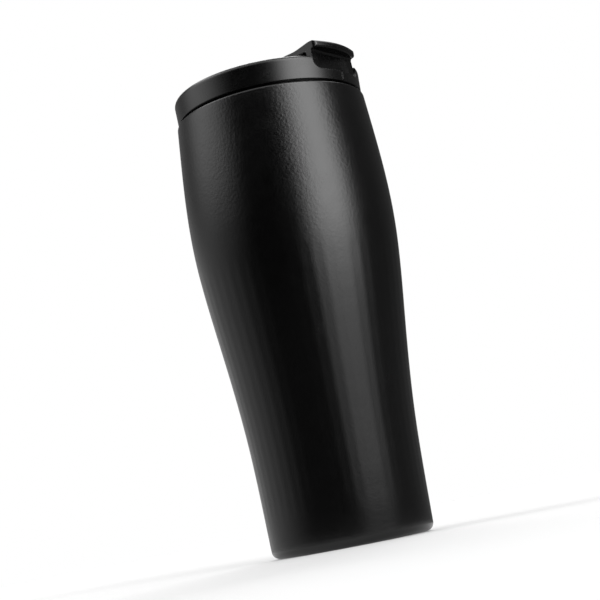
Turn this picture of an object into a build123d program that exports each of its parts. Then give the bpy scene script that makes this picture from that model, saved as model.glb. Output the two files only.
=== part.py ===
"""Insulated travel mug with a press-in lid and a flip cap.

Millimetres. The origin is the centre of the underside, +Z runs up the axis and the drinking side,
with the flip cap's thumb lip, faces -Y.
"""

import os
from math import atan2, degrees

from build123d import *

# ---------------------------------------------------------------- driving dimensions: body
body_height = 179.6  # underside to the top of the shoulder
base_radius = 32.53  # outer radius where the side meets the base
waist_height = 44.0
waist_swell = 1.35  # each swell is the side's radius there, past the base radius
flare_height = 84.0
flare_swell = 5.15
belly_height = 122.0
belly_swell = 9.0
shoulder_swell = 6.83
shoulder_round = 1.0
base_slope = 0.030  # outward lean of the side at the base, per unit of height
shoulder_slope = -0.080  # and at the shoulder
shell_wall = 0.5
liner_wall = 0.4
neck_rise = 2.9  # mouth lip above the shoulder

# base and vacuum closure
base_seam = 4.6  # height of the weld between shell and base
foot_round = 3.1
foot_draft = 0.15
press_round = 0.5
foot_land = 3.2  # flat ring round the pad's recess
pad_thickness = 1.3
pad_proud = 0.2
plate_height = 4.4
plate_flange = 1.6
plate_wall = 0.6
dimple_radius = 6.0
dimple_rise = 1.2
evacuation_radius = 1.0
bead_radius = 3.0
bead_drop = 0.96
bead_plug = 0.3  # bead inside the evacuation hole
weld_gap = 0.03

# liner and what stands in the vacuum
vacuum_gap = 2.5  # between shell and liner at the base
liner_floor = 8.4
liner_base_rise = 5.0
liner_base_round = 3.0
liner_dome_radius = 14.0
liner_dome_rise = 0.8
bore_depth = 16.0  # straight part of the mouth
foil_wall = 0.15
foil_gap = 0.1
foil_bottom_margin = 6.0
foil_top_margin = 8.0
getter_radius = 4.5
getter_height = 1.8
getter_offset = 18.0
clip_wall = 0.25
clip_width = 4.0
clip_tab = 2.6

# ---------------------------------------------------------------- driving dimensions: lid
lid_step = 0.76  # lid rim inside the shoulder's outline
lid_draft = 0.32
lid_height = 9.8
seam_gap = 1.0  # shadow gap between shoulder and lid
rim_width = 3.2
rim_round = 1.9
rim_inner_round = 0.8
edge_break = 0.3
deck_depth = 4.2
deck_thickness = 2.0
deck_round = 1.5
skirt_wall = 1.6
skirt_gap = 0.6
shelf_thickness = 2.2

plug_depth = 14.0
plug_clearance = 0.9
plug_wall = 2.0
plug_floor = 1.6
plug_round = 2.0
passage_wall = 1.3
passage_gap = 1.3  # between the drink passage and the plug's wall
seal_height = 4.2
seal_drop = 9.0  # middle of the seal below the mouth lip
groove_depth = 1.1
seal_gap = 0.2

drink_radius = 5.0
land_width = 2.4
land_rise = 0.3
vent_radius = 1.5
vent_offset = 6.0

# ---------------------------------------------------------------- driving dimensions: flip cap
cap_width = 27.4  # front panel, strap and thumb lip
strap_gap = 2.5  # strap above the lid's rim
strap_thickness = 2.0
lip_rise = 1.4
lip_thickness = 2.9
lip_overhang = 1.1  # past the lid's rim
lip_nose_round = 1.2
lip_corner = 2.0
lip_blend = 1.0
lip_land = 2.8  # width of the lip's level top
lip_run = 6.6  # length of the upward flare towards the lip
panel_inset = 3.8  # front panel's flat face inside the lid's rim
panel_thickness = 2.3
panel_round_share = 0.685  # lower corners' radius over the panel's height below the rim
panel_flare = 0.5
panel_inner_round = 1.0  # where the panel's back meets the strap
scoop_width = 18.0
scoop_depth = 1.0
notch_gap = 0.9  # beside the panel
notch_round_share = 0.295  # upper corners' radius over the same height
deck_gap = 0.3  # behind and under the panel
hinge_offset = 12.0
hinge_clear = 1.1  # between the wide strap and the ears
hinge_inset = 2.7  # knuckle's end inside the strap's side
knuckle_radius = 2.3
pin_radius = 1.0
pin_chamfer = 0.25
pin_fit = 0.06  # running clearance in the knuckle
pin_press = 0.02
ear_gap = 0.3
ear_thickness = 2.8
ear_foot = 5.0
ear_edge = 0.5
strap_round = 1.5
stopper_gap = 0.3
stopper_lift = 0.1
stopper_depth = 2.8
stopper_taper = 0.8
stopper_flange = 1.5
stopper_flange_height = 1.4
stopper_nose_round = 1.0
stopper_lip_round = 0.4
stopper_stem = 2.0
vent_stem = 0.6
vent_nose_round = 0.25
stopper_boss_wall = 1.4
tick_width = 0.9
tick_height = 3.2
tick_proud = 0.3

# ---------------------------------------------------------------- values that follow
shoulder_radius = base_radius + shoulder_swell
lid_radius = shoulder_radius - lid_step
neck_radius = lid_radius - skirt_wall - skirt_gap
mouth_lip = body_height + neck_rise
neck_top = mouth_lip - liner_wall
mouth_radius = neck_radius - shell_wall - weld_gap - liner_wall
bore_bottom = mouth_lip - bore_depth
liner_foot_radius = base_radius - shell_wall - vacuum_gap - liner_wall
liner_seam = liner_floor + liner_base_rise
recess_radius = base_radius - foot_draft - foot_round - foot_land
pad_radius = recess_radius - press_round

skirt_bottom = body_height + seam_gap
rim_top = skirt_bottom + lid_height
rim_radius = lid_radius + lid_draft
rim_inner_radius = rim_radius - rim_width
deck_top = rim_top - deck_depth
deck_under = deck_top - deck_thickness
notch_floor = mouth_lip + shelf_thickness
plug_radius = mouth_radius - plug_clearance
plug_inner_radius = plug_radius - plug_wall
plug_bottom = mouth_lip - plug_depth
seal_middle = mouth_lip - seal_drop
groove_radius = plug_radius - groove_depth
drink_offset = plug_inner_radius - drink_radius - passage_wall - passage_gap

strap_under = rim_top + strap_gap
strap_top = strap_under + strap_thickness
lip_top = strap_top + lip_rise
lip_under = lip_top - lip_thickness
lip_radius = rim_radius + lip_overhang
lip_crest = lip_radius - lip_land
panel_face = rim_radius - panel_inset
panel_back = panel_face - panel_thickness
panel_bottom = notch_floor + deck_gap
panel_round = panel_round_share * (rim_top - panel_bottom)
notch_round = notch_round_share * (rim_top - panel_bottom)
notch_half = cap_width / 2 + notch_gap
hinge_width = cap_width - 2 * hinge_inset
hinge_height = strap_top - knuckle_radius
near = 0.01  # tolerance for choosing edges by their place
stopper_top = deck_top + land_rise + stopper_lift + stopper_flange_height
vent_stopper_top = deck_top + stopper_lift + stopper_flange_height


def save(piece, label):
    """Name a finished piece and write it."""
    piece.part.label = label
    export_step(piece.part, f"parts/{label}.step")


def body_curve(inset):
    """Side of the body from the base seam to the shoulder, moved inwards by the inset."""
    radius = base_radius - inset
    return Spline(
        (radius, base_seam),
        (radius + waist_swell, waist_height),
        (radius + flare_swell, flare_height),
        (radius + belly_swell, belly_height),
        (radius + shoulder_swell, body_height - shoulder_round),
        tangents=((base_slope, 1), (shoulder_slope, 1)),
    )


def shoulder_arc(side, radius):
    """Round at the end of a side curve, turning inwards until it is level."""
    lean = side % 1
    turn = 180 - degrees(atan2(lean.Y, lean.X))
    return JernArc(side @ 1, lean, radius, turn)


def pressed_cup(radius, rim, foot, recess, step, hole, wall, corner, draft):
    """Section of a pressed cup: an upright flange, a flat foot and a middle raised by the step."""
    outer = [
        (radius, rim),
        (radius - draft, foot),
        (recess, foot),
        (recess, foot + step),
        (hole, foot + step),
    ]
    inner = [
        (radius - wall, rim),
        (radius - draft - wall, foot + wall),
        (recess + wall, foot + wall),
        (recess + wall, foot + step + wall),
        (hole, foot + step + wall),
    ]
    below = FilletPolyline(*outer, radius=[corner, press_round, press_round])
    above = FilletPolyline(*inner, radius=[corner - wall, press_round, press_round])
    Line(below @ 0, above @ 0)
    Line(below @ 1, above @ 1)


def liner_radius(height):
    """Inner radius of the liner's tapered part at a height."""
    share = (height - liner_seam) / (bore_bottom - liner_seam)
    return liner_foot_radius + share * (mouth_radius - liner_foot_radius)


os.makedirs("parts", exist_ok=True)

# ---------------------------------------------------------------- outer shell
with BuildPart() as outer_shell:
    with BuildSketch(Plane.XZ):
        with BuildLine():
            outside = body_curve(0)
            outer_round = shoulder_arc(outside, shoulder_round)
            inside = body_curve(shell_wall)
            inner_round = shoulder_arc(inside, shoulder_round - shell_wall)
            outer_level = (outer_round @ 1).Y
            inner_level = (inner_round @ 1).Y
            Polyline(
                outer_round @ 1,
                (neck_radius, outer_level),
                (neck_radius, neck_top),
                (neck_radius - shell_wall, neck_top),
                (neck_radius - shell_wall, inner_level),
                inner_round @ 1,
            )
            Line(inside @ 0, outside @ 0)
        make_face()
    revolve(axis=Axis.Z)
save(outer_shell, "outer_shell")

# ---------------------------------------------------------------- outer base
with BuildPart() as outer_base:
    with BuildSketch(Plane.XZ):
        with BuildLine():
            pressed_cup(
                base_radius, base_seam, pad_proud, recess_radius, pad_thickness - pad_proud,
                0, shell_wall, foot_round, foot_draft,
            )
        make_face()
    revolve(axis=Axis.Z)
save(outer_base, "outer_base")

# ---------------------------------------------------------------- non-slip pad
with BuildPart() as base_pad:
    with BuildSketch():
        Circle(pad_radius)
    extrude(amount=pad_thickness)
    chamfer(base_pad.edges().group_by(Axis.Z)[0], pad_proud)
save(base_pad, "base_pad")

# ---------------------------------------------------------------- vacuum closing plate
plate_radius = base_radius - shell_wall - weld_gap
with BuildPart() as closing_plate:
    with BuildSketch(Plane.XZ):
        with BuildLine():
            pressed_cup(
                plate_radius, plate_height + plate_flange, plate_height, dimple_radius, dimple_rise,
                evacuation_radius, plate_wall, plate_wall + press_round, 0,
            )
        make_face()
    revolve(axis=Axis.Z)
save(closing_plate, "closing_plate")

# ---------------------------------------------------------------- solder glass bead
bead_top = plate_height + dimple_rise
with BuildPart() as seal_bead:
    with BuildSketch(Plane.XZ):
        with BuildLine():
            Polyline(
                (0, bead_top - bead_drop),
                (0, bead_top + bead_plug),
                (evacuation_radius - weld_gap, bead_top + bead_plug),
                (evacuation_radius - weld_gap, bead_top),
                (bead_radius, bead_top),
            )
            TangentArc((0, bead_top - bead_drop), (bead_radius, bead_top), tangent=(1, 0))
        make_face()
    revolve(axis=Axis.Z)
save(seal_bead, "seal_bead")

# ---------------------------------------------------------------- inner liner
with BuildPart() as inner_liner:
    with BuildSketch(Plane.XZ):
        with BuildLine():
            Polyline(
                (mouth_radius, mouth_lip),
                (neck_radius, mouth_lip),
                (neck_radius, neck_top),
                (mouth_radius + liner_wall, neck_top),
                (mouth_radius + liner_wall, bore_bottom),
                (liner_foot_radius + liner_wall, liner_seam),
                (liner_foot_radius, liner_seam),
                (mouth_radius, bore_bottom),
                close=True,
            )
        make_face()
    revolve(axis=Axis.Z)
save(inner_liner, "inner_liner")

# ---------------------------------------------------------------- liner's welded base
with BuildPart() as liner_base:
    with BuildSketch(Plane.XZ):
        with BuildLine():
            pressed_cup(
                liner_foot_radius + liner_wall, liner_seam, liner_floor, liner_dome_radius,
                liner_dome_rise, 0, liner_wall, liner_base_round, 0,
            )
        make_face()
    revolve(axis=Axis.Z)
save(liner_base, "liner_base")

# ---------------------------------------------------------------- heat reflecting foil
foil_bottom = liner_seam + foil_bottom_margin
foil_top = bore_bottom - foil_top_margin
foil_inset = liner_wall + foil_gap
with BuildPart() as heat_reflector:
    with BuildSketch(Plane.XZ):
        with BuildLine():
            Polyline(
                (liner_radius(foil_bottom) + foil_inset, foil_bottom),
                (liner_radius(foil_bottom) + foil_inset + foil_wall, foil_bottom),
                (liner_radius(foil_top) + foil_inset + foil_wall, foil_top),
                (liner_radius(foil_top) + foil_inset, foil_top),
                close=True,
            )
        make_face()
    revolve(axis=Axis.Z)
save(heat_reflector, "heat_reflector")

# ---------------------------------------------------------------- getter and its clip
with BuildPart() as getter:
    with BuildSketch(Plane.XY.offset(liner_floor - getter_height)):
        with Locations((getter_offset, 0)):
            Circle(getter_radius)
    extrude(amount=getter_height)
    chamfer(getter.edges().group_by(Axis.Z)[0], clip_wall)
save(getter, "getter")

clip_reach = getter_radius + weld_gap
clip_low = liner_floor - getter_height - weld_gap
with BuildPart() as getter_clip:
    with BuildSketch(Plane.YZ.offset(getter_offset - clip_width / 2)):
        with BuildLine():
            Polyline(
                (clip_reach + clip_tab, liner_floor),
                (clip_reach, liner_floor),
                (clip_reach, clip_low),
                (-clip_reach, clip_low),
                (-clip_reach, liner_floor),
                (-clip_reach - clip_tab, liner_floor),
                (-clip_reach - clip_tab, liner_floor - clip_wall),
                (-clip_reach - clip_wall, liner_floor - clip_wall),
                (-clip_reach - clip_wall, clip_low - clip_wall),
                (clip_reach + clip_wall, clip_low - clip_wall),
                (clip_reach + clip_wall, liner_floor - clip_wall),
                (clip_reach + clip_tab, liner_floor - clip_wall),
                close=True,
            )
        make_face()
    extrude(amount=clip_width)
save(getter_clip, "getter_clip")


# ---------------------------------------------------------------- lid shell
notch_back = panel_back - deck_gap
notch_level = rim_top + 0.1 * notch_round
notch_corner = panel_round + deck_gap
with BuildPart() as front_notch:
    with BuildSketch(Plane.XZ):
        with BuildLine():
            FilletPolyline(
                (-notch_half - 2 * notch_round, lip_top),
                (-notch_half - 2 * notch_round, notch_level),
                (-notch_half, notch_level),
                (-notch_half, notch_floor),
                (notch_half, notch_floor),
                (notch_half, notch_level),
                (notch_half + 2 * notch_round, notch_level),
                (notch_half + 2 * notch_round, lip_top),
                close=True,
                radius=[0, 0, notch_round, notch_corner, notch_corner, notch_round, 0, 0],
            )
        make_face()
    extrude(amount=lip_radius)
    with BuildSketch(Plane.XY.offset(notch_floor - deck_gap)):
        Circle(notch_back)
    extrude(amount=lip_top, mode=Mode.SUBTRACT)

with BuildPart() as hinge_ears:
    ear_start = hinge_width / 2 + ear_gap
    for start in (ear_start, -ear_start - ear_thickness):
        with BuildSketch(Plane.YZ.offset(start)):
            with Locations((hinge_offset, hinge_height)):
                Circle(knuckle_radius)
            with Locations((hinge_offset, deck_top - deck_thickness / 2)):
                Rectangle(2 * ear_foot, deck_thickness / 2)
            make_hull()
            with Locations((hinge_offset, hinge_height)):
                Circle(pin_radius + pin_press, mode=Mode.SUBTRACT)
        extrude(amount=ear_thickness)
    ear_outline = hinge_ears.faces().filter_by(Axis.X).edges().filter_by(
        lambda edge: edge.bounding_box().max.Z > hinge_height + pin_radius + pin_press + near
    )
    fillet(ear_outline, ear_edge)

with BuildPart() as lid_shell:
    with BuildSketch(Plane.XZ):
        with BuildLine():
            FilletPolyline(
                (0, deck_under),
                (plug_inner_radius, deck_under),
                (plug_inner_radius, mouth_lip),
                (lid_radius - skirt_wall, mouth_lip),
                (lid_radius - skirt_wall, skirt_bottom),
                (lid_radius, skirt_bottom),
                (rim_radius, rim_top),
                (rim_inner_radius, rim_top),
                (rim_inner_radius - lid_draft, deck_top),
                (0, deck_top),
                radius=[0, 0, 0, 0, edge_break, rim_round, rim_inner_round, deck_round],
            )
            Line((0, deck_top), (0, deck_under))
        make_face()
    revolve(axis=Axis.Z)
    add(front_notch.part, mode=Mode.SUBTRACT)
    add(hinge_ears.part)
    with BuildSketch(Plane.XY.offset(deck_top - land_rise)):
        with Locations((0, -drink_offset)):
            Circle(drink_radius + land_width)
    extrude(amount=2 * land_rise)
    with Locations((0, -drink_offset, deck_top)):
        Hole(drink_radius)
    with Locations((0, -vent_offset, deck_top)):
        Hole(vent_radius)
    with BuildSketch(Plane.XZ.offset(lid_radius - skirt_wall / 2)):
        with Locations((0, skirt_bottom + tick_height / 2 + tick_proud)):
            SlotCenterToCenter(tick_height - tick_width, tick_width, rotation=90)
    extrude(amount=skirt_wall / 2 + tick_proud + lid_draft / 2)
save(lid_shell, "lid_shell")

# ---------------------------------------------------------------- lid's insulating plug
groove_low = seal_middle - seal_height / 2
groove_high = seal_middle + seal_height / 2
with BuildPart() as lid_plug:
    with BuildSketch(Plane.XZ):
        with BuildLine():
            FilletPolyline(
                (0, plug_bottom),
                (plug_radius, plug_bottom),
                (plug_radius, groove_low),
                (groove_radius, groove_low),
                (groove_radius, groove_high),
                (plug_radius, groove_high),
                (plug_radius, mouth_lip),
                (plug_inner_radius, mouth_lip),
                (plug_inner_radius, plug_bottom + plug_floor),
                (0, plug_bottom + plug_floor),
                radius=[plug_round, 0, 0, 0, 0, 0, 0, press_round],
            )
            Line((0, plug_bottom + plug_floor), (0, plug_bottom))
        make_face()
    revolve(axis=Axis.Z)
    for offset, bore in ((drink_offset, drink_radius), (vent_offset, vent_radius)):
        with BuildSketch(Plane.XY.offset(plug_bottom + plug_floor / 2)):
            with Locations((0, -offset)):
                Circle(bore + passage_wall)
        extrude(amount=deck_under - plug_bottom - plug_floor / 2)
        with Locations((0, -offset, deck_under)):
            Hole(bore)
save(lid_plug, "lid_plug")

# ---------------------------------------------------------------- plug's silicone seal
fin_reach = mouth_radius - seal_gap
fin_root = plug_radius + seal_gap / 2
fin_half = seal_height / 4
with BuildPart() as plug_seal:
    with BuildSketch(Plane.XZ):
        with BuildLine():
            Polyline(
                (fin_root, groove_low + weld_gap),
                (groove_radius + weld_gap, groove_low + weld_gap),
                (groove_radius + weld_gap, groove_high - weld_gap),
                (fin_root, groove_high - weld_gap),
            )
            for fin in (1, -1):
                ThreePointArc(
                    (fin_root, seal_middle + fin * (2 * fin_half - weld_gap)),
                    (fin_reach, seal_middle + fin * fin_half),
                    (fin_root, seal_middle),
                )
        make_face()
    revolve(axis=Axis.Z)
save(plug_seal, "plug_seal")

# ---------------------------------------------------------------- hinge pin
pin_length = hinge_width + 2 * (ear_gap + ear_thickness)
with BuildPart() as hinge_pin:
    with BuildSketch(Plane.YZ.offset(-pin_length / 2)):
        with Locations((hinge_offset, hinge_height)):
            Circle(pin_radius)
    extrude(amount=pin_length)
    chamfer(hinge_pin.edges().filter_by(GeomType.CIRCLE), pin_chamfer)
save(hinge_pin, "hinge_pin")

# ---------------------------------------------------------------- flip cap
flare_start = lip_crest - lip_run
lip_middle = lip_under + lip_thickness / 4
under_lip = panel_face + 1.15 * lip_blend  # just past the blend
strap_end = panel_face - panel_thickness / 2
scoop_radius = ((scoop_width / 2) ** 2 + scoop_depth**2) / (2 * scoop_depth)
front_half = Plane(origin=(0, 0, 0), x_dir=(-1, 0, 0), z_dir=(0, 1, 0))
wide_start = hinge_offset - knuckle_radius - hinge_clear

with BuildPart() as cap_envelope:
    with BuildSketch() as cap_plan:
        Circle(lip_radius)
        with Locations((0, wide_start / 2 - lip_radius)):
            Rectangle(cap_width, wide_start + 2 * lip_radius, mode=Mode.INTERSECT)
        fillet(cap_plan.vertices().group_by(Axis.Y)[0], lip_corner)
        fillet(cap_plan.vertices().group_by(Axis.Y)[-1], strap_round)
        with Locations((0, hinge_offset / 2)):
            Rectangle(hinge_width, hinge_offset)
    extrude(amount=lip_top + lip_rise)
    with BuildSketch(Plane.XZ):
        with BuildLine():
            FilletPolyline(
                (-cap_width / 2, lip_top + lip_rise),
                (-cap_width / 2, panel_bottom),
                (cap_width / 2, panel_bottom),
                (cap_width / 2, lip_top + lip_rise),
                close=True,
                radius=[0, panel_round, panel_round, 0],
            )
        make_face()
    extrude(amount=2 * lip_radius, both=True, mode=Mode.INTERSECT)

with BuildPart() as flip_cap:
    with BuildSketch(Plane.XY.offset(strap_under)):
        with Locations((0, (hinge_offset - strap_end) / 2)):
            Rectangle(cap_width, hinge_offset + strap_end)
    extrude(amount=strap_thickness)
    with BuildSketch(front_half):
        with BuildLine():
            FilletPolyline(
                (flare_start / 2, lip_under),
                (flare_start / 2, strap_top),
                (flare_start, strap_top),
                (lip_crest, lip_top),
                (lip_radius, lip_top),
                (lip_radius, lip_under),
                close=True,
                radius=[0, 0, 2 * lip_run, lip_run, lip_nose_round, lip_nose_round],
            )
        make_face()
    revolve(axis=Axis.Z, revolution_arc=180)
    with BuildSketch(Plane.YZ):
        with BuildLine():
            FilletPolyline(
                (-panel_back + 2 * panel_inner_round, lip_middle),
                (-panel_back + 2 * panel_inner_round, strap_under),
                (-panel_back, strap_under),
                (-panel_back, panel_bottom),
                (-panel_face - panel_flare, panel_bottom),
                (-panel_face, lip_under),
                (-under_lip, lip_under),
                (-under_lip, lip_middle),
                close=True,
                radius=[0, 0, panel_inner_round, edge_break, edge_break, lip_blend, 0, 0],
            )
        make_face()
    extrude(amount=cap_width / 2, both=True)
    add(cap_envelope.part, mode=Mode.INTERSECT)
    with BuildSketch(Plane.XY.offset(panel_bottom)):
        with Locations((0, scoop_depth - panel_face - scoop_radius)):
            Circle(scoop_radius)
    extrude(amount=lip_under - lip_blend - panel_bottom, mode=Mode.SUBTRACT)
    with BuildSketch(Plane.YZ.offset(-hinge_width / 2)):
        with Locations((hinge_offset, hinge_height)):
            Circle(knuckle_radius)
    extrude(amount=hinge_width)
    with BuildSketch(Plane.YZ.offset(-hinge_width / 2)):
        with Locations((hinge_offset, hinge_height)):
            Circle(pin_radius + pin_fit)
    extrude(amount=hinge_width, mode=Mode.SUBTRACT)
    for offset, stem, low in (
        (drink_offset, stopper_stem, stopper_top),
        (vent_offset, vent_stem, vent_stopper_top),
    ):
        with BuildSketch(Plane.XY.offset(low)):
            with Locations((0, -offset)):
                Circle(stem + stopper_boss_wall)
        extrude(amount=strap_under - low)
        with BuildSketch(Plane.XY.offset(low - stopper_flange_height)):
            with Locations((0, -offset)):
                Circle(stem)
        extrude(amount=stopper_flange_height)
save(flip_cap, "flip_cap")


# ---------------------------------------------------------------- stoppers under the cap
def stopper(offset, hole, seat, stem, nose_round):
    """Silicone stopper: a tapered plug in its hole, a sealing flange and a socket for the stem."""
    wide = hole - stopper_gap
    top = seat + stopper_lift + stopper_flange_height
    low = seat - stopper_depth
    with BuildPart() as piece:
        with BuildSketch(Plane.XZ.offset(offset)):
            with BuildLine():
                FilletPolyline(
                    (0, low),
                    (wide * stopper_taper, low),
                    (wide, seat),
                    (wide + stopper_flange, seat + stopper_lift),
                    (wide + stopper_flange, top),
                    (stem + weld_gap, top),
                    (stem + weld_gap, top - stopper_flange_height - weld_gap),
                    (0, top - stopper_flange_height - weld_gap),
                    radius=[nose_round, 0, stopper_lip_round, stopper_lip_round, 0, 0],
                )
                Line((0, top - stopper_flange_height - weld_gap), (0, low))
            make_face()
        revolve(axis=Axis((0, -offset, 0), (0, 0, 1)))
    return piece


spout_stopper = stopper(drink_offset, drink_radius, deck_top + land_rise, stopper_stem, stopper_nose_round)
save(spout_stopper, "spout_stopper")

vent_stopper = stopper(vent_offset, vent_radius, deck_top, vent_stem, vent_nose_round)
save(vent_stopper, "vent_stopper")
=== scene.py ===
"""Looks of an insulated travel mug: coated steel body, moulded lid with flip cap, seals, liner, stage."""

import math

import bmesh
import bpy
from mathutils import Matrix, Vector


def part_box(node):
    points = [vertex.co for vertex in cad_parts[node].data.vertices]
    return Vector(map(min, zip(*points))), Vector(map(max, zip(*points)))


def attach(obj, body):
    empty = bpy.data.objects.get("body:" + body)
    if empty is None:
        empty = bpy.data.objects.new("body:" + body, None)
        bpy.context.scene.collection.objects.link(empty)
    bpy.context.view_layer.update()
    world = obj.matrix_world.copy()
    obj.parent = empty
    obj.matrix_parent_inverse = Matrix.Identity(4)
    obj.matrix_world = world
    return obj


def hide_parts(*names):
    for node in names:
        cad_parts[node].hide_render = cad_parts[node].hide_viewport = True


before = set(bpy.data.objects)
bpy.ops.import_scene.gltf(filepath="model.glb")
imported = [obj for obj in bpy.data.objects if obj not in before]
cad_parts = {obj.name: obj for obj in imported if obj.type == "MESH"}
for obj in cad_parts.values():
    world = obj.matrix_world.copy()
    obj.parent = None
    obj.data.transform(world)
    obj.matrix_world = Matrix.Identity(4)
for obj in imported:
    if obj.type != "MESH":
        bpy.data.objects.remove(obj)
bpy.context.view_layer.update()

bl_info = {
    "name": "Travel Mug Builder",
    "version": (1, 0, 0),
    "blender": (4, 5, 0),
    "location": "View3D > Sidebar > Travel Mug",
    "description": "Builds the coated body, lid, cap, seals and liner of a travel mug on its frame",
    "category": "Object",
}

WELD = 1e-7  # metres within which doubled CAD vertices are one
WHITE = (1.0, 1.0, 1.0, 1.0)


# ------------------------------------------------------------------ settings
class CoatSettings(bpy.types.PropertyGroup):
    """Sizes and colours of the powder coat."""

    colour: bpy.props.FloatVectorProperty(
        name="Coat colour",
        description="Colour of the powder coat",
        subtype="COLOR",
        size=3,
        min=0.0,
        max=1.0,
        default=(0.0009, 0.0009, 0.00095),
    )
    roughness: bpy.props.FloatProperty(
        name="Coat roughness",
        description="Mean roughness of the cured powder",
        min=0.05,
        max=1.0,
        default=0.24,
    )
    grain: bpy.props.FloatProperty(
        name="Grain size",
        description="Size of one grain of the cured powder",
        unit="LENGTH",
        subtype="DISTANCE",
        min=0.0001,
        max=0.005,
        default=0.0009,
        precision=5,
    )
    relief: bpy.props.FloatProperty(
        name="Grain relief",
        description="Height of the grain",
        unit="LENGTH",
        subtype="DISTANCE",
        min=0.0,
        max=0.0005,
        default=0.00007,
        precision=6,
    )
    facets: bpy.props.IntProperty(
        name="Facets",
        description="Number of faint upright flats round the lower wall",
        min=3,
        max=120,
        default=51,
    )
    facet_share: bpy.props.FloatProperty(
        name="Facet depth",
        description="Share of a full flat that shows",
        subtype="FACTOR",
        min=0.0,
        max=1.0,
        default=1.0,
    )
    facet_turn: bpy.props.FloatProperty(
        name="Facet turn",
        description="Turn of the first flat from the X axis",
        subtype="ANGLE",
        default=math.radians(5.04),
    )
    facets_from: bpy.props.FloatProperty(
        name="Facets from",
        description="Height at which the flats begin",
        unit="LENGTH",
        subtype="DISTANCE",
        default=0.012,
    )
    facets_to: bpy.props.FloatProperty(
        name="Facets to",
        description="Height at which the flats end",
        unit="LENGTH",
        subtype="DISTANCE",
        default=0.118,
    )
    facet_fade: bpy.props.FloatProperty(
        name="Facet fade",
        description="Length over which the flats fade into the round wall",
        unit="LENGTH",
        subtype="DISTANCE",
        min=0.0001,
        default=0.008,
    )


class PlasticSettings(bpy.types.PropertyGroup):
    """Sizes and colours of the moulded plastic."""

    colour: bpy.props.FloatVectorProperty(
        name="Plastic colour",
        description="Colour of the moulded lid and cap",
        subtype="COLOR",
        size=3,
        min=0.0,
        max=1.0,
        default=(0.0011, 0.0011, 0.00115),
    )
    roughness: bpy.props.FloatProperty(
        name="Plastic roughness",
        description="Mean roughness of the moulded skin",
        min=0.05,
        max=1.0,
        default=0.26,
    )
    grain: bpy.props.FloatProperty(
        name="Skin grain",
        description="Size of the mould's spark-eroded grain",
        unit="LENGTH",
        subtype="DISTANCE",
        min=0.00005,
        max=0.002,
        default=0.00025,
        precision=5,
    )
    edge: bpy.props.FloatProperty(
        name="Edge round",
        description="Radius over which hard moulded edges are eased",
        unit="LENGTH",
        subtype="DISTANCE",
        min=0.00005,
        max=0.001,
        default=0.0003,
        precision=5,
    )


class SealSettings(bpy.types.PropertyGroup):
    """Sizes and colours of the silicone pieces."""

    seal_colour: bpy.props.FloatVectorProperty(
        name="Seal colour",
        description="Colour of the plug's seal and of the stoppers",
        subtype="COLOR",
        size=3,
        min=0.0,
        max=1.0,
        default=(0.05, 0.05, 0.052),
    )
    pad_colour: bpy.props.FloatVectorProperty(
        name="Pad colour",
        description="Colour of the pad under the foot",
        subtype="COLOR",
        size=3,
        min=0.0,
        max=1.0,
        default=(0.02, 0.02, 0.021),
    )
    edge: bpy.props.FloatProperty(
        name="Edge round",
        description="Radius of a moulded edge",
        unit="LENGTH",
        subtype="DISTANCE",
        min=0.00005,
        max=0.0006,
        default=0.00035,
        precision=5,
    )
    ring_pitch: bpy.props.FloatProperty(
        name="Groove pitch",
        description="Distance from one groove of the pad to the next",
        unit="LENGTH",
        subtype="DISTANCE",
        min=0.0006,
        max=0.01,
        default=0.0016,
        precision=5,
    )
    ring_depth: bpy.props.FloatProperty(
        name="Groove depth",
        description="Depth of the pad's grooves",
        unit="LENGTH",
        subtype="DISTANCE",
        min=0.0,
        max=0.0006,
        default=0.0003,
        precision=5,
    )


class StageSettings(bpy.types.PropertyGroup):
    """Camera and lamps."""

    lens: bpy.props.FloatProperty(
        name="Focal length",
        description="Focal length of the view camera",
        subtype="DISTANCE_CAMERA",
        min=10.0,
        max=300.0,
        default=80.79,
    )
    bearing: bpy.props.FloatProperty(
        name="Bearing",
        description="Turn of the camera round the mug, from the front of the lid",
        subtype="ANGLE",
        default=math.radians(-53.7),
    )
    distance: bpy.props.FloatProperty(
        name="Distance",
        description="Distance of the camera from the axis of the mug",
        unit="LENGTH",
        subtype="DISTANCE",
        min=0.1,
        default=0.54105,
    )
    height: bpy.props.FloatProperty(
        name="Height",
        description="Height of the camera above the floor",
        unit="LENGTH",
        subtype="DISTANCE",
        default=0.01122,
    )
    pan: bpy.props.FloatProperty(
        name="Pan",
        description="Turn of the camera to the side",
        subtype="ANGLE",
        default=-0.0049,
    )
    tilt: bpy.props.FloatProperty(
        name="Tilt",
        description="Turn of the camera upwards",
        subtype="ANGLE",
        default=0.1635,
    )
    roll: bpy.props.FloatProperty(
        name="Roll",
        description="Turn of the camera round its line of sight",
        subtype="ANGLE",
        default=-0.19,
    )
    key: bpy.props.FloatProperty(
        name="Key lamp",
        description="Brightness of the main lamp",
        min=0.0,
        default=1.0,
    )
    fill: bpy.props.FloatProperty(
        name="Fill lamp",
        description="Brightness of the side lamp",
        min=0.0,
        default=1.0,
    )


# ------------------------------------------------------------------ node helpers
def socket(tree, name, kind, way="INPUT", **facts):
    """Adds a named socket to a node group and sets its default and limits."""
    made = tree.interface.new_socket(name=name, in_out=way, socket_type=kind)
    for key, value in facts.items():
        setattr(made, key, value)
    return made


def node(tree, kind, inputs=(), **facts):
    """Adds a node, sets its properties, and fills or links its inputs by name or number."""
    made = tree.nodes.new(kind)
    for key, value in facts.items():
        setattr(made, key, value)
    for key, value in dict(inputs).items():
        if isinstance(value, bpy.types.NodeSocket):
            tree.links.new(value, made.inputs[key])
        else:
            made.inputs[key].default_value = value
    return made


def maths(tree, operation, *values):
    """Output of a maths node."""
    return node(tree, "ShaderNodeMath", enumerate(values), operation=operation).outputs[0]


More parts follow.
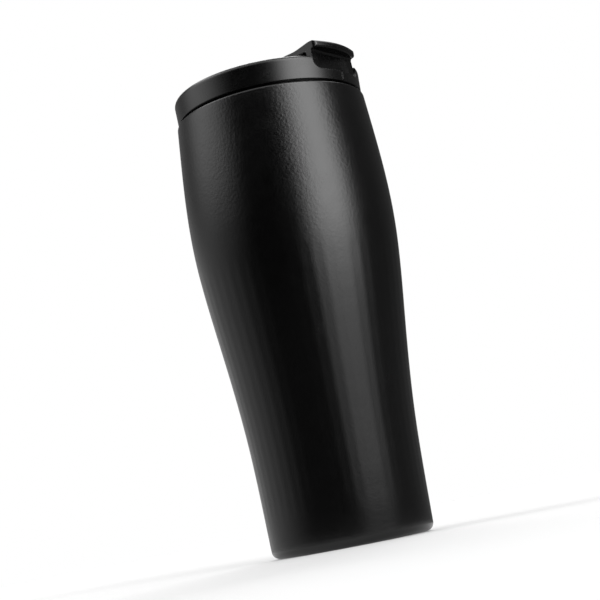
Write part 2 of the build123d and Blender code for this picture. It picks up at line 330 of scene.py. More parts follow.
def spread(tree, value, low, high, start=0.0, end=1.0, way="LINEAR"):
    """Value between start and end, moved to the range low to high and kept in it."""
    inputs = {"Value": value, "From Min": start, "From Max": end, "To Min": low, "To Max": high}
    return node(tree, "ShaderNodeMapRange", inputs, interpolation_type=way).outputs[0]


# ------------------------------------------------------------------ turned pieces
def facet_share(tree, given, swept, height):
    """Share of the radius left on a flat facet, 1 at a facet's edge and outside the facets' heights."""
    half = maths(tree, "DIVIDE", math.pi, given.outputs["Facets"])
    width = maths(tree, "MULTIPLY", half, 2.0)
    off = maths(tree, "SUBTRACT", maths(tree, "FLOORED_MODULO", swept, width), half)
    flat = maths(tree, "DIVIDE", maths(tree, "COSINE", half), maths(tree, "COSINE", off))
    low, high, fade = (given.outputs[name] for name in ("Facets from", "Facets to", "Facet fade"))
    above = spread(tree, height, 0.0, 1.0, low, maths(tree, "ADD", low, fade), "SMOOTHSTEP")
    beyond = spread(tree, height, 0.0, 1.0, maths(tree, "SUBTRACT", high, fade), high, "SMOOTHSTEP")
    band = maths(tree, "MULTIPLY", above, maths(tree, "SUBTRACT", 1.0, beyond))
    share = maths(tree, "MULTIPLY", band, given.outputs["Facet share"])
    lost = maths(tree, "MULTIPLY", share, maths(tree, "SUBTRACT", 1.0, flat))
    return maths(tree, "SUBTRACT", 1.0, lost)


def ring_height(tree, given, radius, height):
    """Rise of the underside in its round grooves, 0 on the lands and outside the ringed band."""
    wave = maths(tree, "MULTIPLY", maths(tree, "DIVIDE", radius, given.outputs["Ring pitch"]), math.tau)
    rise = maths(tree, "SUBTRACT", 0.5, maths(tree, "MULTIPLY", maths(tree, "COSINE", wave), 0.5))
    inner = maths(tree, "GREATER_THAN", radius, given.outputs["Rings from"])
    outer = maths(tree, "LESS_THAN", radius, given.outputs["Rings to"])
    under = maths(tree, "LESS_THAN", height, given.outputs["Rings below"])
    band = maths(tree, "MULTIPLY", maths(tree, "MULTIPLY", inner, outer), under)
    return maths(tree, "MULTIPLY", maths(tree, "MULTIPLY", rise, band), given.outputs["Ring depth"])


def turned_tree():
    """Geometry Nodes tree that turns a profile, drawn in the XZ half plane, round the Z axis."""
    name = "turned_piece"
    if name in bpy.data.node_groups:
        return bpy.data.node_groups[name]
    tree = bpy.data.node_groups.new(name, "GeometryNodeTree")
    socket(tree, "Profile", "NodeSocketGeometry")
    socket(tree, "Steps", "NodeSocketInt", default_value=192, min_value=3)
    socket(tree, "Axis", "NodeSocketVector", default_value=(0.0, 0.0, 0.0), subtype="TRANSLATION")
    for angle, default in (("Crease angle", 0.6), ("Start angle", 0.0)):
        socket(tree, angle, "NodeSocketFloat", default_value=default, subtype="ANGLE")
    socket(tree, "Facets", "NodeSocketInt", default_value=1, min_value=1)
    socket(tree, "Facet share", "NodeSocketFloat", default_value=0.0, min_value=0.0, max_value=1.0)
    for distance, default in (
        ("Weld distance", 0.000002),
        ("Facets from", 0.0),
        ("Facets to", 0.0),
        ("Facet fade", 0.005),
        ("Ring depth", 0.0),
        ("Rings from", 0.0),
        ("Rings to", 0.0),
        ("Rings below", 0.0),
    ):
        socket(tree, distance, "NodeSocketFloat", default_value=default, subtype="DISTANCE")
    socket(
        tree, "Ring pitch", "NodeSocketFloat", default_value=0.001, min_value=0.0001, subtype="DISTANCE"
    )
    socket(tree, "Material", "NodeSocketMaterial")
    socket(tree, "Geometry", "NodeSocketGeometry", "OUTPUT")
    given = node(tree, "NodeGroupInput")
    rows = node(tree, "GeometryNodeAttributeDomainSize", {"Geometry": given.outputs["Profile"]})
    grid = node(
        tree,
        "GeometryNodeMeshGrid",
        {
            "Size X": 1.0,
            "Size Y": 1.0,
            "Vertices X": maths(tree, "ADD", given.outputs["Steps"], 1.0),
            "Vertices Y": rows.outputs["Point Count"],
        },
    )
    place = node(tree, "GeometryNodeInputPosition").outputs[0]
    on_grid = node(tree, "ShaderNodeSeparateXYZ", {0: place})
    swept = maths(tree, "MULTIPLY", maths(tree, "ADD", on_grid.outputs["X"], 0.5), math.tau)
    turn = maths(tree, "ADD", swept, given.outputs["Start angle"])
    last = maths(tree, "SUBTRACT", rows.outputs["Point Count"], 1.0)
    across = maths(tree, "ADD", on_grid.outputs["Y"], 0.5)
    row = maths(tree, "ROUND", maths(tree, "MULTIPLY", across, last))
    drawn = node(
        tree,
        "GeometryNodeSampleIndex",
        {"Geometry": given.outputs["Profile"], "Index": row},
        data_type="FLOAT_VECTOR",
        domain="POINT",
    )
    tree.links.new(place, drawn.inputs["Value"])
    point = node(tree, "ShaderNodeSeparateXYZ", {0: drawn.outputs[0]})
    share = facet_share(tree, given, swept, point.outputs["Z"])
    radius = maths(tree, "MULTIPLY", point.outputs["X"], share)
    round_x = maths(tree, "MULTIPLY", radius, maths(tree, "COSINE", turn))
    round_y = maths(tree, "MULTIPLY", radius, maths(tree, "SINE", turn))
    rise = ring_height(tree, given, point.outputs["X"], point.outputs["Z"])
    grooved = maths(tree, "ADD", point.outputs["Z"], rise)
    swung = node(tree, "ShaderNodeCombineXYZ", {0: round_x, 1: round_y, 2: grooved})
    target = node(
        tree, "ShaderNodeVectorMath", {0: swung.outputs[0], 1: given.outputs["Axis"]}, operation="ADD"
    )
    mapped = node(
        tree,
        "GeometryNodeStoreNamedAttribute",
        {"Geometry": grid.outputs["Mesh"], "Name": "UVMap", "Value": grid.outputs["UV Map"]},
        data_type="FLOAT2",
        domain="CORNER",
    )
    turned = node(
        tree, "GeometryNodeSetPosition", {"Geometry": mapped.outputs[0], "Position": target.outputs[0]}
    )
    welded = node(
        tree,
        "GeometryNodeMergeByDistance",
        {"Geometry": turned.outputs[0], "Distance": given.outputs["Weld distance"]},
    )
    fold = node(tree, "GeometryNodeInputMeshEdgeAngle").outputs["Unsigned Angle"]
    soft = node(
        tree,
        "FunctionNodeCompare",
        {"A": fold, "B": given.outputs["Crease angle"]},
        data_type="FLOAT",
        operation="LESS_THAN",
    )
    faces = node(tree, "GeometryNodeSetShadeSmooth", {"Geometry": welded.outputs[0]}, domain="FACE")
    edges = node(
        tree,
        "GeometryNodeSetShadeSmooth",
        {"Geometry": faces.outputs[0], "Shade Smooth": soft.outputs[0]},
        domain="EDGE",
    )
    real = node(tree, "GeometryNodeRealizeInstances", {"Geometry": edges.outputs[0]})
    finished = node(
        tree,
        "GeometryNodeSetMaterial",
        {"Geometry": real.outputs[0], "Material": given.outputs["Material"]},
    )
    node(tree, "NodeGroupOutput", {"Geometry": finished.outputs[0]})
    return tree


def grow(name, source, tree, values):
    """Runs a Geometry Nodes tree on a source mesh and returns the result as a plain mesh object."""
    piece = bpy.data.objects.new(name, source)
    bpy.context.scene.collection.objects.link(piece)
    modifier = piece.modifiers.new(name, "NODES")
    modifier.node_group = tree
    ids = {item.name: item.identifier for item in tree.interface.items_tree if item.in_out == "INPUT"}
    for key, value in values.items():
        modifier[ids[key]] = value
    shown = piece.evaluated_get(bpy.context.evaluated_depsgraph_get())
    result = bpy.data.meshes.new_from_object(shown)
    piece.modifiers.remove(modifier)
    piece.data = result
    result.name = name
    if not result.polygons:
        raise RuntimeError(f"{name} came out empty")
    return piece


def outward(mesh):
    """Turns the faces of a closed mesh outwards."""
    shape = bmesh.new()
    shape.from_mesh(mesh)
    bmesh.ops.recalc_face_normals(shape, faces=shape.faces)
    shape.to_mesh(mesh)
    shape.free()


def turned(name, profile, material, steps, body, stands_for, slot, **values):
    """Piece of revolution from (radius, height) points, riding on a body in place of its CAD node."""
    source = bpy.data.meshes.new(name + "_profile")
    source.from_pydata([(radius, 0.0, height) for radius, height in profile], [], [])
    inputs = {"Steps": steps, "Material": material}
    inputs.update({key.replace("_", " "): value for key, value in values.items()})
    piece = grow(name, source, turned_tree(), inputs)
    outward(piece.data)
    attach(piece, body)
    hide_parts(stands_for)
    return piece


def section_loop(name, centre=(0.0, 0.0, 0.0)):
    """Outline of a turned CAD node beside its axis, as (radius, height) points in order."""
    shape = bmesh.new()
    shape.from_mesh(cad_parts[name].data)
    bmesh.ops.remove_doubles(shape, verts=shape.verts, dist=WELD)
    # the first cut drops what is beyond the axis, and the second one's edges are the outline
    for normal in ((-1, 0, 0), (0, 1, 0)):
        every = shape.verts[:] + shape.edges[:] + shape.faces[:]
        cut = bmesh.ops.bisect_plane(
            shape, geom=every, dist=WELD, plane_co=centre, plane_no=normal, clear_outer=normal[0] < 0
        )
    edges = [item for item in cut["geom_cut"] if isinstance(item, bmesh.types.BMEdge)]
    beside = {}
    for edge in edges:
        for vertex, other in (edge.verts, reversed(edge.verts)):
            beside.setdefault(vertex, []).append(other)
    ends = [vertex for vertex, others in beside.items() if len(others) == 1]
    here = ends[0] if ends else next(iter(beside))
    loop, seen = [here], {here}
    while True:
        onward = [other for other in beside[here] if other not in seen]
        if not onward:
            break
        here = onward[0]
        loop.append(here)
        seen.add(here)
    if len(seen) != len(beside):
        raise RuntimeError(f"{name} has more than one outline")
    points = [(max(vertex.co.x - centre[0], 0.0), vertex.co.z) for vertex in loop]
    shape.free()
    if not ends:
        points.append(points[0])
    return points


def lean(first, second):
    """Direction from one profile point to the next."""
    return math.atan2(second[1] - first[1], second[0] - first[0])


def turn_at(before, here, after):
    """Change of direction at a profile point, in radians."""
    change = lean(here, after) - lean(before, here)
    return abs((change + math.pi) % math.tau - math.pi)


def natural_curve(points, spacing):
    """Points along the smooth cubic through the given points, about a spacing apart."""
    count = len(points)
    along = [0.0]
    for first, second in zip(points, points[1:]):
        along.append(along[-1] + math.dist(first, second))
    bends = []
    for axis in (0, 1):
        level, upper, right = [1.0] + [0.0] * (count - 1), [0.0] * count, [0.0] * count
        for i in range(1, count - 1):
            before, after = along[i] - along[i - 1], along[i + 1] - along[i]
            rise = (points[i + 1][axis] - points[i][axis]) / after
            rise -= (points[i][axis] - points[i - 1][axis]) / before
            level[i] = 2 * (before + after) - before * upper[i - 1]
            upper[i] = after / level[i]
            right[i] = (6 * rise - before * right[i - 1]) / level[i]
        bend = [0.0] * count
        for i in range(count - 2, 0, -1):
            bend[i] = right[i] - upper[i] * bend[i + 1]
        bends.append(bend)
    made = []
    for i in range(count - 1):
        gap = along[i + 1] - along[i]
        parts = max(1, round(gap / spacing))
        for step in range(parts):
            right_share = step / parts
            left_share = 1 - right_share
            made.append(
                tuple(
                    left_share * points[i][axis]
                    + right_share * points[i + 1][axis]
                    + gap * gap / 6 * (
                        (left_share**3 - left_share) * bends[axis][i]
                        + (right_share**3 - right_share) * bends[axis][i + 1]
                    )
                    for axis in (0, 1)
                )
            )
    return made + [points[-1]]


def refined(loop, spacing=0.002, bend=math.radians(3), shortest=6):
    """Closed outline with its long gentle runs redrawn as smooth curves and its others as they are."""
    points = loop[:-1]
    following = points[1:] + points[:1]
    turns = [turn_at(points[i - 1], point, following[i]) for i, point in enumerate(points)]
    start = next(i for i, turn in enumerate(turns) if turn > bend)
    order = [(start + i) % len(points) for i in range(len(points) + 1)]
    made, run = [], [points[start]]
    for i in order[1:]:
        run.append(points[i])
        if turns[i] > bend:
            made += (natural_curve(run, spacing) if len(run) >= shortest else run)[:-1]
            run = [points[i]]
    return made + [made[0]]


def softened(points, radius, parts=4, sharp=math.radians(20), idle=math.radians(0.5)):
    """Open profile without its idle points, its sharp corners drawn as round ones of a radius."""
    longest = 0.45  # share of a run that a round corner may take
    kept = [points[0]]
    for i in range(1, len(points) - 1):
        if turn_at(kept[-1], points[i], points[i + 1]) > idle:
            kept.append(points[i])
    kept.append(points[-1])
    made = [kept[0]]
    for before, here, after in zip(kept, kept[1:], kept[2:]):
        bend = turn_at(before, here, after)
        if bend < sharp:
            made.append(here)
            continue
        room = longest * min(math.dist(before, here), math.dist(here, after))
        reach = min(radius * math.tan(bend / 2), room)
        start, end = (
            tuple(here[k] + (other[k] - here[k]) * reach / math.dist(here, other) for k in (0, 1))
            for other in (before, after)
        )
        for step in range(parts + 1):
            share = step / parts
            made.append(
                tuple(
                    (1 - share) ** 2 * start[k] + 2 * share * (1 - share) * here[k] + share**2 * end[k]
                    for k in (0, 1)
                )
            )
    return made + [kept[-1]]


def divided(points, spacing):
    """Profile with its straight runs cut into steps of about a spacing."""
    made = [points[0]]
    for first, second in zip(points, points[1:]):
        parts = max(1, round(math.dist(first, second) / spacing))
        for step in range(1, parts + 1):
            made.append(tuple(first[k] + (second[k] - first[k]) * step / parts for k in (0, 1)))
    return made


def pip(points, radius, depth):
    """Profile whose end on the axis is pressed in by the small round mark of a mould gate."""
    height = points[-1][1]
    way = 1 if points[0][1] > height else -1
    # shares of the radius and of the depth
    shares = ((1.0, 0.0), (0.8, 0.35), (0.6, 0.85), (0.35, 1.0), (0.0, 1.0))
    return points[:-1] + [(radius * out, height + way * depth * deep) for out, deep in shares]


# ------------------------------------------------------------------ materials
def material(name, **values):
    """New Principled material with constant values set on the shader's own sockets."""
    made = bpy.data.materials.new(name)
    made.use_nodes = True
    tree = made.node_tree
    tree.nodes.clear()
    shader = node(tree, "ShaderNodeBsdfPrincipled")
    for key, value in values.items():
        shader.inputs[key.replace("_", " ")].default_value = value
    node(tree, "ShaderNodeOutputMaterial", {"Surface": shader.outputs[0]})
    return made, tree, shader


def noise(tree, size, detail=2.0, rough=0.5, stretch=(1.0, 1.0, 1.0)):
    """Noise of a grain size in metres, on the piece's own coordinates."""
    place = node(tree, "ShaderNodeTexCoord").outputs["Object"]
    scaled = node(tree, "ShaderNodeMapping", {"Vector": place, "Scale": stretch})
    return node(
        tree,
        "ShaderNodeTexNoise",
        {"Vector": scaled.outputs[0], "Scale": 1.0 / size, "Detail": detail, "Roughness": rough},
    ).outputs["Fac"]


def tinted(tree, shader, value, dark, light):
    """Varies the shader's base colour between two shades by a value."""
    made = node(tree, "ShaderNodeMix", data_type="RGBA")
    factor, first, second = (
        next(item for item in made.inputs if item.name == name and item.enabled)
        for name in ("Factor", "A", "B")
    )
    tree.links.new(value, factor)
    first.default_value = (*dark, 1.0)
    second.default_value = (*light, 1.0)
    mixed = next(item for item in made.outputs if item.enabled)
    tree.links.new(mixed, shader.inputs["Base Color"])


def roughened(tree, shader, value, low, high):
    """Varies the shader's roughness from low to high by a value."""
    tree.links.new(spread(tree, value, low, high), shader.inputs["Roughness"])


def relief(tree, shader, height, depth, under=None):
    """Bumps the shader's normal by a height, with its depth in metres."""
    inputs = {"Height": height, "Distance": depth, "Strength": 1.0}
    if under is not None:
        inputs["Normal"] = under
    made = node(tree, "ShaderNodeBump", inputs).outputs[0]
    tree.links.new(made, shader.inputs["Normal"])
    return made


def eased_edges(tree, radius):
    """Normal of the surface with its hard edges rounded over a radius in metres."""
    return node(tree, "ShaderNodeBevel", {"Radius": radius}, samples=6).outputs[0]


def powder_coat(settings):
    """Cured black powder: fine pebbled skin over a slow orange peel, smoother down on the facets."""
    made, tree, shader = material("powder_coat", Specular_IOR_Level=0.5, IOR=1.5)
    colour = Vector(settings.colour)
    fine_size, pebble_size, peel_size = (share * settings.grain for share in (0.4, 1.3, 7.0))
    fine_depth, peel_depth = (share * settings.relief for share in (0.4, 0.5))
    fine = noise(tree, fine_size, detail=2.0, rough=0.6)
    pebble = noise(tree, pebble_size, detail=2.0, rough=0.55)
    slow = noise(tree, peel_size, detail=1.0, rough=0.4)
    tinted(tree, shader, pebble, colour * 0.7, colour * 1.5)
    roughened(tree, shader, slow, settings.roughness - 0.03, settings.roughness + 0.05)
    # the pebbles' share of the relief on the flats and above them, and the height over which it grows
    on_flats, above_flats, climb = 0.5, 1.3, 0.03
    place = node(tree, "ShaderNodeTexCoord").outputs["Object"]
    height = node(tree, "ShaderNodeSeparateXYZ", {"Vector": place}).outputs["Z"]
    start, end = settings.facets_to - settings.facet_fade, settings.facets_to + climb
    thickness = spread(tree, height, on_flats, above_flats, start, end)
    skin = maths(tree, "MULTIPLY", pebble, thickness)
    peel = relief(tree, shader, slow, peel_depth)
    pebbled = relief(tree, shader, skin, settings.relief, peel)
    relief(tree, shader, fine, fine_depth, pebbled)
    return made


def moulded_plastic(settings):
    """Satin black polypropylene with a fine spark-eroded skin and eased edges."""
    made, tree, shader = material("moulded_plastic", Specular_IOR_Level=0.5, IOR=1.49)
    colour = Vector(settings.colour)
    skin = noise(tree, settings.grain, detail=2.0, rough=0.6)
    flow = noise(tree, size=0.004, detail=2.0, rough=0.5)
    tinted(tree, shader, flow, colour * 0.8, colour * 1.25)
    roughened(tree, shader, flow, settings.roughness - 0.04, settings.roughness + 0.05)
    relief(tree, shader, skin, depth=0.000008, under=eased_edges(tree, settings.edge))
    return made


def silicone(name, colour):
    """Matt moulded silicone with a faint bloom."""
    made, tree, shader = material(name, Specular_IOR_Level=0.4, IOR=1.41, Sheen_Weight=0.08)
    bloom = noise(tree, size=0.003, detail=3.0, rough=0.6)
    skin = noise(tree, size=0.00035, detail=2.0, rough=0.5)
    tinted(tree, shader, bloom, Vector(colour) * 0.8, Vector(colour) * 1.35)
    roughened(tree, shader, bloom, 0.5, 0.66)
    relief(tree, shader, skin, depth=0.000012)
    return made


def spun_steel(name, colour, rough, pitch=0.00045, stretch=(0.004, 0.004, 1.0)):
    """Stainless steel with fine turning marks that run round the Z axis."""
    made, tree, shader = material(name, Metallic=0.8, Anisotropic=0.45)
    marks = noise(tree, pitch, detail=3.0, rough=0.65, stretch=stretch)
    tinted(tree, shader, marks, Vector(colour) * 0.9, Vector(colour))
    roughened(tree, shader, marks, rough - 0.05, rough + 0.08)
    relief(tree, shader, marks, depth=0.000004)
    return made


def foil():
    """Crinkled bright aluminium foil."""
    made, tree, shader = material("foil", Metallic=1.0)
    creases = noise(tree, size=0.006, detail=4.0, rough=0.6)
    tinted(tree, shader, creases, (0.68, 0.68, 0.67), (0.8, 0.8, 0.79))
    roughened(tree, shader, creases, 0.16, 0.34)
    relief(tree, shader, creases, depth=0.00025)
    return made


def getter_metal():
    """Dull grey sintered getter."""
    made, tree, shader = material("getter_metal", Metallic=0.6)
    grit = noise(tree, size=0.0002, detail=3.0, rough=0.7)
    tinted(tree, shader, grit, (0.12, 0.115, 0.11), (0.27, 0.26, 0.25))
    roughened(tree, shader, grit, 0.55, 0.8)
    relief(tree, shader, grit, depth=0.00003)
    return made


def solder_glass():
    """Opaque grey solder glass."""
    made, tree, shader = material("solder_glass", Specular_IOR_Level=0.5, IOR=1.6)
    swirl = noise(tree, size=0.0012, detail=3.0, rough=0.6)
    tinted(tree, shader, swirl, (0.28, 0.29, 0.26), (0.42, 0.43, 0.4))
    roughened(tree, shader, swirl, 0.08, 0.2)
    relief(tree, shader, swirl, depth=0.00002)
    return made


def finish_node(name, given):
    """Gives a CAD node a material."""
    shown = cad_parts[name]
    if not shown.material_slots:
        shown.data.materials.append(given)
    for item in shown.material_slots:
        item.material = given


# ------------------------------------------------------------------ operators
class MUG_OT_coated_body(bpy.types.Operator):
    """Turn the coated outer wall and foot"""

    bl_idname = "mug.coated_body"
    bl_label = "Coated Body"

    def execute(self, context):
        settings = context.scene.mug_coat
        coat = powder_coat(settings)
        steps = 4 * settings.facets  # four to a flat
        turned(
            "coated_wall",
            refined(section_loop("outer_shell")),
            coat,
            steps=steps,
            body="mug",
            stands_for="outer_shell",
            slot="powder_coat",
            Start_angle=settings.facet_turn,
            Facets=settings.facets,
            Facet_share=settings.facet_share,
            Facets_from=settings.facets_from,
            Facets_to=settings.facets_to,
            Facet_fade=settings.facet_fade,
        )
        turned(
            "coated_foot",
            section_loop("outer_base"),
            coat,
            steps=steps,
            body="mug",
            stands_for="outer_base",
            slot="powder_coat",
            Start_angle=settings.facet_turn,
        )
        return {"FINISHED"}


class MUG_OT_lid(bpy.types.Operator):
    """Finish the moulded lid, its plug and the hinge pin"""

    bl_idname = "mug.lid"
    bl_label = "Lid"

    def execute(self, context):
        plastic = moulded_plastic(context.scene.mug_plastic)
        for name in ("lid_shell", "lid_plug", "flip_cap"):
            finish_node(name, plastic)
        finish_node("hinge_pin", spun_steel("pin_steel", (0.62, 0.61, 0.6), 0.22))
        return {"FINISHED"}


class MUG_OT_seals(bpy.types.Operator):
    """Turn the plug's seal, the two stoppers and the foot's pad"""

    bl_idname = "mug.seals"
    bl_label = "Seals"

    def execute(self, context):
        settings = context.scene.mug_seals
        seal = silicone("seal_silicone", settings.seal_colour)
        fine, corner, shortest = 0.00012, math.radians(25), 4
        ring = refined(section_loop("plug_seal"), fine, corner, shortest)
        turned(
            "ribbed_seal",
            ring,
            seal,
            steps=256,
            body="lid",
            stands_for="plug_seal",
            slot="seal_silicone",
        )
        for name, node_name in (("spout_plug", "spout_stopper"), ("vent_plug", "vent_stopper")):
            self.stopper(name, node_name, seal, settings)
        self.pad(settings)
        return {"FINISHED"}

    def stopper(self, name, node_name, seal, settings, mark_share=0.12, mark_depth=0.00025):
        """Turns one stopper round its own axis, with a gate mark under it."""
        low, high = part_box(node_name)
        axis = ((low[0] + high[0]) / 2, (low[1] + high[1]) / 2, 0.0)
        profile = section_loop(node_name, axis)
        if profile[0][1] < profile[-1][1]:
            profile.reverse()
        profile = softened(profile, settings.edge)
        profile = pip(profile, mark_share * (high[0] - low[0]), mark_depth)
        turned(
            name,
            profile,
            seal,
            steps=96,
            body="cap",
            stands_for=node_name,
            slot="seal_silicone",
            Axis=axis,
        )

    def pad(self, settings, plain_centre=6, plain_border=2, steps_per_ring=8):
        """Turns the pad, with round grooves between its plain centre and its plain border, in pitches."""
        low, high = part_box("base_pad")
        reach = (high[0] - low[0]) / 2
        pitch = settings.ring_pitch
        corners = [(0.0, high[2]), (reach, high[2]), (reach, low[2]), (0.0, low[2])]
        turned(
            "grooved_pad",
            divided(softened(corners, settings.edge), pitch / steps_per_ring),
            silicone("pad_silicone", settings.pad_colour),
            steps=192,
            body="mug",
            stands_for="base_pad",
            slot="pad_silicone",
            Ring_pitch=pitch,
            Ring_depth=settings.ring_depth,
            Rings_from=plain_centre * pitch,
            Rings_to=math.floor(reach / pitch - plain_border) * pitch,
            Rings_below=(low[2] + high[2]) / 2,
        )


class MUG_OT_liner(bpy.types.Operator):
    """Finish the steel liner and the parts in the vacuum"""

    bl_idname = "mug.liner"
    bl_label = "Liner"

    def execute(self, context):
        steel = spun_steel("bare_steel", (0.66, 0.65, 0.64), 0.26)
        for name in ("inner_liner", "liner_base", "closing_plate", "getter_clip"):
            finish_node(name, steel)
        finish_node("heat_reflector", foil())
        finish_node("getter", getter_metal())
        finish_node("seal_bead", solder_glass())
        return {"FINISHED"}


class MUG_OT_stage(bpy.types.Operator):
    """Set the floor, the lamps, the surround and the camera"""

    bl_idname = "mug.stage"
    bl_label = "Stage"

    def execute(self, context):
        settings = context.scene.mug_stage
        set_world()
        set_floor()
        set_lamps(settings)
        set_surround(settings)
        set_camera(settings)
        return {"FINISHED"}


# ------------------------------------------------------------------ stage
def seen_plain(tree):
    """1 for a ray from the camera, a mirror or clear glass, and 0 for any other."""
    path = node(tree, "ShaderNodeLightPath").outputs
    either = maths(tree, "MAXIMUM", path["Is Camera Ray"], path["Is Glossy Ray"])
    return maths(tree, "MAXIMUM", either, path["Is Transmission Ray"])


def set_world(light=0.6):
    """White world where it is seen, and a softer one where it only lights."""
    world = bpy.data.worlds.new("studio")
    world.use_nodes = True
    tree = world.node_tree
    tree.nodes.clear()
    level = spread(tree, seen_plain(tree), light, 1.0)
    back = node(tree, "ShaderNodeBackground", {"Color": WHITE, "Strength": level})
    node(tree, "ShaderNodeOutputWorld", {"Surface": back.outputs[0]})
    bpy.context.scene.world = world
    bpy.context.scene.view_settings.view_transform = "Standard"


def set_floor(half=3.0, glow=0.17):
    """Pale floor that keeps the mug's shadow and runs out into the white world."""
    made, tree, shader = material("floor_paint", Specular_IOR_Level=0.0, Roughness=0.9)
    fleck = noise(tree, size=0.002, detail=2.0, rough=0.5)
    tinted(tree, shader, fleck, (0.79, 0.79, 0.79), (0.81, 0.81, 0.81))
    shader.inputs["Emission Color"].default_value = WHITE
    tree.links.new(spread(tree, seen_plain(tree), 0.0, glow), shader.inputs["Emission Strength"])
    mesh = bpy.data.meshes.new("floor")
    corners = [(-half, -half, 0), (half, -half, 0), (half, half, 0), (-half, half, 0)]
    mesh.from_pydata(corners, [], [(0, 1, 2, 3)])
    mesh.materials.append(made)
    floor = bpy.data.objects.new("floor", mesh)
    bpy.context.scene.collection.objects.link(floor)


def bearing_way(settings, turn):
    """Level direction at a turn from the camera's side of the mug, positive to the camera's right."""
    angle = settings.bearing + turn
    return Vector((math.sin(angle), -math.cos(angle), 0.0))


def put_sun(name, place, level, width):
    """Sun lamp that shines from a place towards the foot of the mug and is left out of reflections."""
    lamp = bpy.data.lights.new(name, "SUN")
    lamp.energy = level
    lamp.angle = width
    made = bpy.data.objects.new(name, lamp)
    aim = place.to_track_quat("Z", "Y").to_matrix().to_4x4()
    made.matrix_world = Matrix.Translation(place) @ aim
    made.visible_glossy = False
    made.visible_camera = False
    bpy.context.scene.collection.objects.link(made)


def set_lamps(settings, front=0.65, behind=1.37, width=math.radians(30)):
    """Wide key lamp on the right, fill lamp on the left and back lamp, for a soft shadow on the floor."""
    lamps = (  # name, turn and rise in degrees, level
        ("key_lamp", 40, 35, front * settings.key),
        ("fill_lamp", -95, 30, front * settings.fill),
        ("back_lamp", 175, 38, behind),
    )
    for name, turn, rise, level in lamps:
        way = bearing_way(settings, math.radians(turn)) * math.cos(math.radians(rise))
        way.z = math.sin(math.radians(rise))
        put_sun(name, way, level, width)


def card(tree, settings, turn, core, reach, low, high, level, foot=0.0):
    """Glow of a card that stands round the mug.

    It is full within core degrees of its turn and gone past reach degrees. Low and high are each a
    height and the share of the level there. The glow fades out below the foot's height, if it has one.
    """
    place = node(tree, "ShaderNodeTexCoord").outputs["Object"]
    flat = node(tree, "ShaderNodeVectorMath", {0: place, 1: (1.0, 1.0, 0.0)}, operation="MULTIPLY")
    out = node(tree, "ShaderNodeVectorMath", {0: flat.outputs[0]}, operation="NORMALIZE")
    way = bearing_way(settings, math.radians(turn))
    near = node(tree, "ShaderNodeVectorMath", {0: out.outputs[0], 1: way}, operation="DOT_PRODUCT")
    angle = maths(tree, "ARCCOSINE", near.outputs["Value"])
    across = spread(tree, angle, 0.0, 1.0, math.radians(reach), math.radians(core), "SMOOTHSTEP")
    height = node(tree, "ShaderNodeSeparateXYZ", {0: place}).outputs["Z"]
    upward = spread(tree, height, low[1], high[1], low[0], high[0], "SMOOTHSTEP")
    if foot:
        dark = 0.1 * foot
        upward = maths(tree, "MULTIPLY", upward, spread(tree, height, 0.0, 1.0, dark, foot))
    return maths(tree, "MULTIPLY", maths(tree, "MULTIPLY", across, upward), level)


ALL_ROUND = {"turn": 0.0, "core": 180.0, "reach": 181.0}
CARDS = (
    # narrow bright card in front on the right, wide dim one behind on the left
    dict(turn=43.0, core=6.0, reach=36.0, low=(0.06, 0.24), high=(0.19, 1.0), level=5.5, foot=0.009),
    dict(turn=-125.0, core=25.0, reach=85.0, low=(0.13, 1.0), high=(0.24, 0.4), level=0.52),
    # high card on the left, faint one behind on the right
    dict(turn=-80.0, core=4.0, reach=42.0, low=(0.15, 0.0), high=(0.31, 1.0), level=1.7),
    dict(turn=118.0, core=35.0, reach=60.0, low=(0.0, 1.0), high=(0.5, 1.0), level=0.08),
    # narrow card behind the mug
    dict(turn=180.0, core=4.0, reach=22.0, low=(0.06, 0.3), high=(0.19, 1.0), level=3.5, foot=0.009),
    # faint light near the floor and the bright top of the surround
    dict(ALL_ROUND, low=(0.0, 1.0), high=(0.14, 0.15), level=0.06),
    dict(ALL_ROUND, low=(0.42, 0.0), high=(0.52, 1.0), level=2.2),
)


def set_surround(settings):
    """Dark cloth round the mug with glowing cards, seen by reflections alone."""
    made = bpy.data.materials.new("reflector_cards")
    made.use_nodes = True
    tree = made.node_tree
    tree.nodes.clear()
    glow = 0.0
    for values in CARDS:
        glow = maths(tree, "ADD", card(tree, settings, **values), glow)
    light = node(tree, "ShaderNodeEmission", {"Color": WHITE, "Strength": glow})
    node(tree, "ShaderNodeOutputMaterial", {"Surface": light.outputs[0]})
    hole, radius, lift, top, sides = 0.06, 0.30, 0.0006, 0.62, 96
    rings = ((hole, lift), (radius, lift), (radius, top))
    verts = [
        (out * math.cos(math.tau * step / sides), out * math.sin(math.tau * step / sides), up)
        for out, up in rings
        for step in range(sides)
    ]
    faces = []
    for row in range(len(rings) - 1):
        for step in range(sides):
            after = (step + 1) % sides
            first, second = row * sides, (row + 1) * sides
            faces.append((first + step, first + after, second + after, second + step))
    mesh = bpy.data.meshes.new("surround")
    mesh.from_pydata(verts, [], faces)
    mesh.materials.append(made)
    cloth = bpy.data.objects.new("surround", mesh)
    bpy.context.scene.collection.objects.link(cloth)
    cloth.visible_camera = False
    cloth.visible_diffuse = False
    cloth.visible_transmission = False
    cloth.visible_volume_scatter = False
    cloth.visible_shadow = False


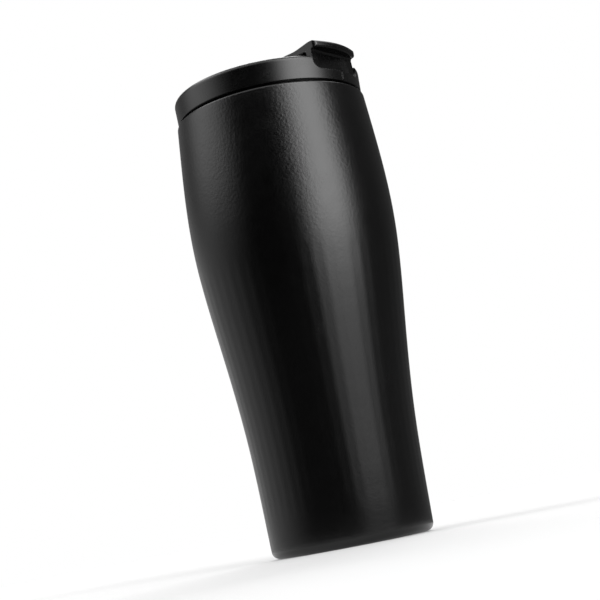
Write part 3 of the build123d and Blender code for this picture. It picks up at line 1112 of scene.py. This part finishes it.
def set_camera(settings):
    """View camera, placed by its bearing, distance, height, pan, tilt and roll."""
    data = bpy.data.cameras.new("view_camera")
    data.lens = settings.lens
    data.sensor_width = 36.0
    ahead = Vector(
        (
            math.sin(settings.pan) * math.cos(settings.tilt),
            math.cos(settings.pan) * math.cos(settings.tilt),
            math.sin(settings.tilt),
        )
    )
    level = Vector((math.cos(settings.pan), -math.sin(settings.pan), 0.0))
    above = level.cross(ahead)
    right = level * math.cos(settings.roll) + above * math.sin(settings.roll)
    upward = above * math.cos(settings.roll) - level * math.sin(settings.roll)
    aim = Matrix((right, upward, -ahead)).transposed().to_4x4()
    place = Matrix.Translation((0.0, -settings.distance, settings.height))
    made = bpy.data.objects.new("view_camera", data)
    made.matrix_world = Matrix.Rotation(settings.bearing, 4, "Z") @ place @ aim
    bpy.context.scene.collection.objects.link(made)
    bpy.context.scene.camera = made


# ------------------------------------------------------------------ panel and run
class MUG_PT_sidebar(bpy.types.Panel):
    """Buttons and settings of the travel mug"""

    bl_idname = "MUG_PT_sidebar"
    bl_label = "Travel Mug"
    bl_space_type = "VIEW_3D"
    bl_region_type = "UI"
    bl_category = "Travel Mug"

    def draw(self, context):
        layout = self.layout
        for kind in OPERATORS:
            layout.operator(kind.bl_idname)
        for name, _ in SETTINGS:
            group = getattr(context.scene, name)
            box = layout.box()
            for key in group.__annotations__:
                box.prop(group, key)


SETTINGS = (
    ("mug_coat", CoatSettings),
    ("mug_plastic", PlasticSettings),
    ("mug_seals", SealSettings),
    ("mug_stage", StageSettings),
)
OPERATORS = (
    MUG_OT_stage,
    MUG_OT_coated_body,
    MUG_OT_lid,
    MUG_OT_seals,
    MUG_OT_liner,
)


def register():
    """Registers the settings, the operators and the panel."""
    for name, kind in SETTINGS:
        bpy.utils.register_class(kind)
        setattr(bpy.types.Scene, name, bpy.props.PointerProperty(type=kind))
    for kind in (*OPERATORS, MUG_PT_sidebar):
        bpy.utils.register_class(kind)


def unregister():
    """Takes the panel, the operators and the settings away again."""
    for kind in reversed((*OPERATORS, MUG_PT_sidebar)):
        bpy.utils.unregister_class(kind)
    for name, kind in reversed(SETTINGS):
        delattr(bpy.types.Scene, name)
        bpy.utils.unregister_class(kind)


def main():
    register()
    bpy.ops.mug.stage()
    bpy.ops.mug.coated_body()
    bpy.ops.mug.lid()
    bpy.ops.mug.seals()
    bpy.ops.mug.liner()


if __name__ == "__main__":
    main()
